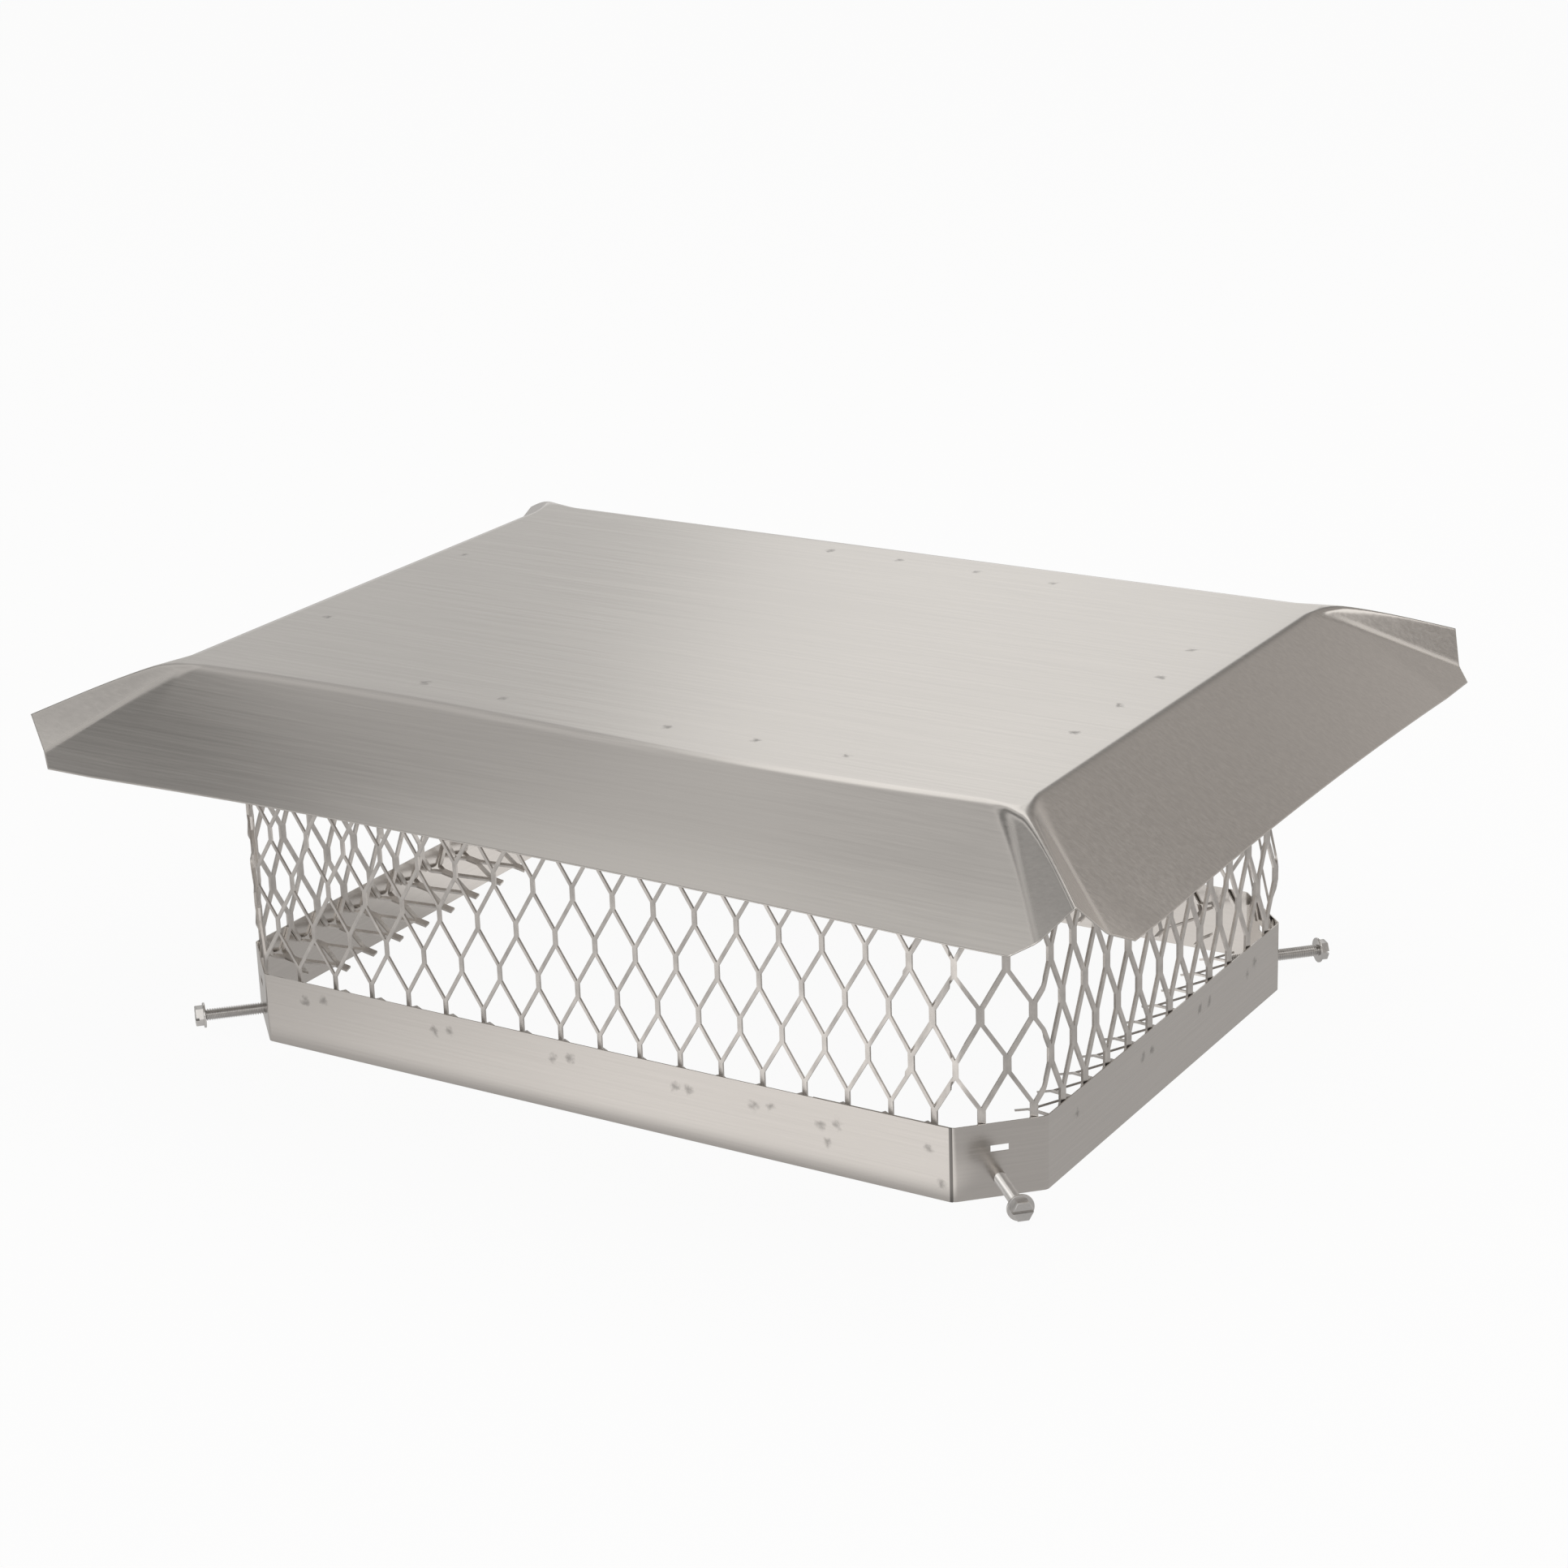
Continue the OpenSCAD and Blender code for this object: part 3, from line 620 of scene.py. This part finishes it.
def cut(shape, place, normal, geom=None, drop=False):
    bmesh.ops.bisect_plane(shape, geom=geom or everything(shape), dist=1e-5, plane_co=place,
                           plane_no=normal, clear_outer=drop)


cut(strip, (front_end - 1.4, 0, 0), (1, 0, 0), drop=True)
cut(strip, (front_end - along[-1] + LAP_PULL, 0, 0), (-1, 0, 0), drop=True)
cut(strip, (0, 0, strip_top), (0, 0, 1), drop=True)
cut(strip, (0, 0, strip_low), (0, 0, -1), drop=True)
for n in range(1, 9):
    for step in (-1, 0, 1):
        cut(strip, (front_end - along[n] + step * bend_half, 0, 0), (1, 0, 0))
for fold in (TOP_FOLD, LOW_FOLD):
    for step in (-1, 0, 1):
        cut(strip, (0, 0, fold + step * FOLD_RADIUS), (0, 0, 1))
notches = []
for n in range(9):
    low, high = front_end - along[n + 1], front_end - along[n]
    if faces_round[n] % 2:
        notches.append((low - NOTCH, high + NOTCH))
    elif n == 8:
        notches.append((low, high))
for low, high in notches:
    for edge in (low, high):
        cut(strip, (edge, 0, 0), (1, 0, 0))
for level in (CORNER_TOP, CORNER_LOW):
    cut(strip, (0, 0, level), (0, 0, 1))


def in_notch(face):
    c = face.calc_center_median()
    return (c.z > CORNER_TOP or c.z < CORNER_LOW) and any(low < c.x < high for low, high in notches)


bmesh.ops.delete(strip, geom=[f for f in strip.faces if in_notch(f)], context="FACES")
bmesh.ops.holes_fill(strip, edges=[e for e in strip.edges if e.is_boundary], sides=0)
bmesh.ops.recalc_face_normals(strip, faces=strip.faces)
for vert in strip.verts:
    vert.co = on_cap(vert.co)
print("screen: open edges", sum(e.is_boundary for e in strip.edges))
bmesh.ops.recalc_face_normals(strip, faces=strip.faces)
finished_piece("screen_mesh", strip, screen_steel, "cap", "screen", crease=30)


# %% [markdown]
# The clamp screws are quarter inch machine screws, 20 threads to the inch, with slotted hexagon
# washer heads. One turn of the thread is a V that is spun up the shank, and the flat cuts at both
# ends leave the runout that a real screw has. The head is a washer, a hexagon and two halves with
# the driver's slot between them.

# %% Screw
SCREW_R, PITCH, ROOT_R, REACH, SCREW_LENGTH = 3.175, 1.27, 2.45, 20.0, 51.0
TURN_STEPS, TURNS = 24, 43
HEX, HEX_HEIGHT, WASHER_R, WASHER_T, SLOT, SLOT_DEPTH = 9.5, 4.2, 6.7, 1.2, 1.4, 1.8


def moved(shape, made, place):
    bmesh.ops.translate(shape, verts=made, vec=place)
    return made


def screw_shape():
    thread = bmesh.new()
    profile = [(ROOT_R, 0), (SCREW_R, 0.45), (SCREW_R, 0.63), (ROOT_R, 1.08), (ROOT_R, PITCH)]
    made = bmesh.ops.create_grid(thread, x_segments=len(profile) - 1, y_segments=1, size=1)["verts"]
    row = sorted((v for v in made if v.co.y < 0), key=lambda v: v.co.x)
    bmesh.ops.delete(thread, geom=[v for v in made if v not in row], context="VERTS")
    for vert, (r, z) in zip(row, profile):
        vert.co = (r, 0, z - REACH - 2 * PITCH)
    bmesh.ops.spin(thread, geom=thread.verts[:] + thread.edges[:], axis=(0, 0, 1), cent=(0, 0, 0),
                   dvec=(0, 0, PITCH / TURN_STEPS), angle=2 * math.pi * TURNS, steps=TURN_STEPS * TURNS)
    bmesh.ops.remove_doubles(thread, verts=thread.verts, dist=0.002)
    for end, way in ((-REACH, -1), (SCREW_LENGTH - REACH + 0.5, 1)):
        cut(thread, (0, 0, end), (0, 0, way), drop=True)
    bmesh.ops.holes_fill(thread, edges=[e for e in thread.edges if e.is_boundary], sides=0)
    for vert in thread.verts:
        most = SCREW_R - 1.2 + (vert.co.z + REACH)
        r = vert.co.xy.length
        if r > most:
            vert.co.xy *= most / r
    return thread


def hexagon(shape, height, half):
    made = bmesh.ops.create_cone(shape, cap_ends=True, segments=6, radius1=HEX / math.sqrt(3),
                                 radius2=HEX / math.sqrt(3), depth=height)["verts"]
    moved(shape, made, (0, 0, height / 2))
    if half:
        rim = {e for v in made for e in v.link_edges if min(w.co.z for w in e.verts) > height - 0.01}
        bmesh.ops.bevel(shape, geom=list(rim), offset=0.45, segments=3, profile=0.5, affect="EDGES",
                        material=-1)
        cut(shape, (SLOT / 2, 0, 0), (-1, 0, 0), drop=True)
        bmesh.ops.holes_fill(shape, edges=[e for e in shape.edges if e.is_boundary], sides=0)
    return shape


# %% Screw head
def joined(target, part, matrix):
    bmesh.ops.transform(part, matrix=matrix, verts=part.verts)
    mesh = bpy.data.meshes.new("part")
    bmesh.ops.recalc_face_normals(part, faces=part.faces)
    part.to_mesh(mesh)
    part.free()
    target.from_mesh(mesh)
    bpy.data.meshes.remove(mesh)


def washer():
    disc = bmesh.new()
    bmesh.ops.create_cone(disc, cap_ends=True, segments=64, radius1=WASHER_R, radius2=WASHER_R,
                          depth=WASHER_T)
    rim = [e for e in disc.edges if abs(e.verts[0].co.z - e.verts[1].co.z) < 0.01]
    bmesh.ops.bevel(disc, geom=rim, offset=0.3, segments=3, profile=0.5, affect="EDGES", material=-1)
    return disc


screw = bmesh.new()
under_head = SCREW_LENGTH - REACH
joined(screw, screw_shape(), Matrix.Identity(4))
joined(screw, washer(), Matrix.Translation((0, 0, under_head + WASHER_T / 2)))
joined(screw, hexagon(bmesh.new(), HEX_HEIGHT - SLOT_DEPTH, False),
       Matrix.Translation((0, 0, under_head + WASHER_T)))
for turn in (0, math.pi):
    joined(screw, hexagon(bmesh.new(), SLOT_DEPTH, True),
           Matrix.Translation((0, 0, under_head + WASHER_T + HEX_HEIGHT - SLOT_DEPTH))
           @ Matrix.Rotation(turn, 4, "Z"))
screw_mesh = bpy.data.meshes.new("screw")
screw.to_mesh(screw_mesh)
screw.free()
print("screw:", len(screw_mesh.polygons), "faces")

# %% Four screws
SCREW_LEVEL = 9.2
for name, i in (("front_right", 7), ("back_right", 1), ("back_left", 3), ("front_left", 5)):
    middle = (-1 if i % 4 == 1 else 1) * (HALF_LENGTH - HALF_WIDTH) / math.sqrt(2)
    spot = (Matrix.Scale(MM, 4) @ Matrix.Rotation(i * math.pi / 4, 4, "Z")
            @ Matrix.Translation((corner_reach, middle, SCREW_LEVEL)) @ Matrix.Rotation(math.pi / 2, 4, "Y"))
    shape = bmesh.new()
    shape.from_mesh(screw_mesh)
    bmesh.ops.transform(shape, matrix=spot, verts=shape.verts)
    finished_piece("clamp_screw_" + name, shape, screw_steel, "screw_" + name, "screw_" + name,
                   crease=35)
